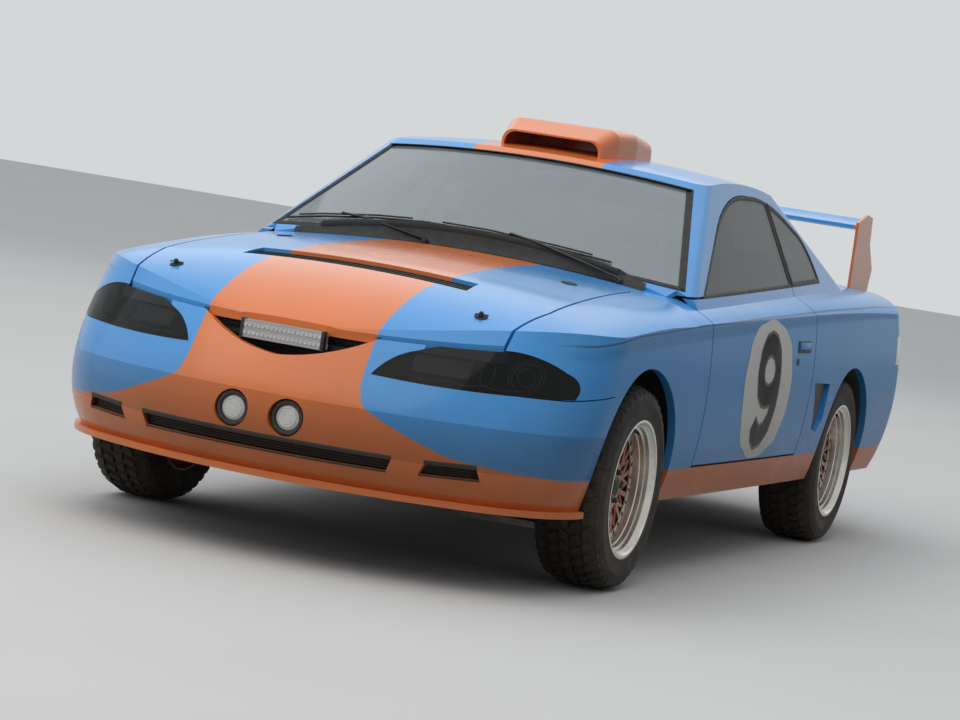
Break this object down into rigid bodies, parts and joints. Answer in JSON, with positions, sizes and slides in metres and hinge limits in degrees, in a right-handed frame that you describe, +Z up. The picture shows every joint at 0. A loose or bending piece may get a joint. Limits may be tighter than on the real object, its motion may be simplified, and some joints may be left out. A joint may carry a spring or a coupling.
{
  "type": "rally car",
  "caption": "Two-door rally coupe with roof scoop, slotted hood, light bar, high rear wing, hollow caged cabin, opening doors and lids, steered wheels",
  "frame": {"origin": "bottom centre of the bounding box, on the ground", "axes": "x to the car's left, -y to the front, z up"},
  "size_m": [1.8196, 4.6147, 1.4579],
  "materials": {
    "body_paint": "satin_gloss",
    "orange_paint": "satin_gloss",
    "wing_paint": "satin_gloss",
    "screen_glass": "gloss",
    "side_glass": "gloss",
    "lamp_glass": "gloss",
    "black_plastic": "matte",
    "red_lens": "gloss",
    "led_housing": "satin",
    "underbody_paint": "matte",
    "dark_aluminium": "matte",
    "cast_metal": "matte",
    "cast_alloy": "matte",
    "raw_steel": "matte",
    "exhaust_steel": "satin",
    "cabin_plastic": "matte",
    "wheel_leather": "satin",
    "seat_fabric": "matte",
    "cage_paint": "satin",
    "tyre_rubber": "matte",
    "wheel_bronze": "satin"
  },
  "bodies": {
    "chassis": {"body_shell": "body_paint", "side_skirts": "orange_paint", "front_fenders": "body_paint", "front_bumper": "body_paint", "front_lip": "orange_paint", "rear_bumper": "body_paint", "roof_scoop": "orange_paint", "lid_hinges": "raw_steel", "windshield": "screen_glass", "rear_window": "screen_glass", "quarter_windows": "side_glass", "window_posts": "black_plastic", "headlamp_lenses": "lamp_glass", "headlamp_pods": "black_plastic", "tail_lamps": "red_lens", "light_bar": "led_housing", "spot_lamps": "black_plastic", "floor_pan": "underbody_paint", "sills": "underbody_paint", "rear_wheel_tubs": "underbody_paint", "front_frame": "underbody_paint", "front_liners": "black_plastic", "radiator": "dark_aluminium", "engine_block": "cast_metal", "gearbox": "cast_alloy", "prop_shaft": "raw_steel", "rear_axle": "cast_metal", "rear_suspension": "raw_steel", "fuel_tank": "black_plastic", "exhaust": "exhaust_steel", "front_crossmember": "raw_steel", "dashboard": "cabin_plastic", "seats": "seat_fabric", "seat_rails": "raw_steel", "roll_cage": "cage_paint"},
    "hood": {"hood": "body_paint"},
    "deck_lid": {"deck_lid": "body_paint", "rear_wing": "wing_paint"},
    "door_left": {"door_left": "body_paint", "door_glass_left": "side_glass"},
    "door_right": {"door_right": "body_paint", "door_glass_right": "side_glass"},
    "knuckle_left": {"knuckle_left": "cast_metal"},
    "knuckle_right": {"knuckle_right": "cast_metal"},
    "steering_wheel": {"steering_wheel": "wheel_leather"},
    "wheel_front_left": {"tyre_front_left": "tyre_rubber", "rim_front_left": "wheel_bronze"},
    "wheel_front_right": {"tyre_front_right": "tyre_rubber", "rim_front_right": "wheel_bronze"},
    "wheel_rear_left": {"tyre_rear_left": "tyre_rubber", "rim_rear_left": "wheel_bronze"},
    "wheel_rear_right": {"tyre_rear_right": "tyre_rubber", "rim_rear_right": "wheel_bronze"}
  },
  "joints": [
    {"name": "hood_hinge", "type": "hinge", "parent": "chassis", "child": "hood", "pos_m": [0, -1.019, 0.952], "axis": [-1, 0, 0], "range_deg": [0, 50]},
    {"name": "deck_lid_hinge", "type": "hinge", "parent": "chassis", "child": "deck_lid", "pos_m": [0, 1.501, 1.015], "axis": [1, 0, 0], "range_deg": [0, 55]},
    {"name": "door_left_hinge", "type": "hinge", "parent": "chassis", "child": "door_left", "pos_m": [0.888, -0.737, 0.65], "axis": [0, 0, -1], "range_deg": [0, 62]},
    {"name": "door_right_hinge", "type": "hinge", "parent": "chassis", "child": "door_right", "pos_m": [-0.888, -0.737, 0.65], "axis": [0, 0, 1], "range_deg": [0, 62]},
    {"name": "steer_left", "type": "hinge", "parent": "chassis", "child": "knuckle_left", "pos_m": [0.695, -1.355, 0.195], "axis": [-0.1786, 0, 0.9839], "range_deg": [-32, 32]},
    {"name": "steer_right", "type": "hinge", "parent": "chassis", "child": "knuckle_right", "pos_m": [-0.695, -1.355, 0.195], "axis": [0.1786, 0, 0.9839], "range_deg": [-32, 32]},
    {"name": "steering_wheel_turn", "type": "hinge", "parent": "chassis", "child": "steering_wheel", "pos_m": [0.37, -0.47, 0.838], "axis": [0, 0.9063, 0.4226], "range_deg": [-480, 480]},
    {"name": "wheel_front_left_spin", "type": "hinge", "parent": "knuckle_left", "child": "wheel_front_left", "pos_m": [0.775, -1.355, 0.327], "axis": [1, 0, 0], "continuous": true},
    {"name": "wheel_front_right_spin", "type": "hinge", "parent": "knuckle_right", "child": "wheel_front_right", "pos_m": [-0.775, -1.355, 0.327], "axis": [1, 0, 0], "continuous": true},
    {"name": "wheel_rear_left_spin", "type": "hinge", "parent": "chassis", "child": "wheel_rear_left", "pos_m": [0.775, 1.218, 0.327], "axis": [1, 0, 0], "continuous": true},
    {"name": "wheel_rear_right_spin", "type": "hinge", "parent": "chassis", "child": "wheel_rear_right", "pos_m": [-0.775, 1.218, 0.327], "axis": [1, 0, 0], "continuous": true}
  ],
  "couplings": [
    {"joint": "steer_right", "follows": "steer_left", "ratio": 1},
    {"joint": "steering_wheel_turn", "follows": "steer_left", "ratio": 15}
  ]
}
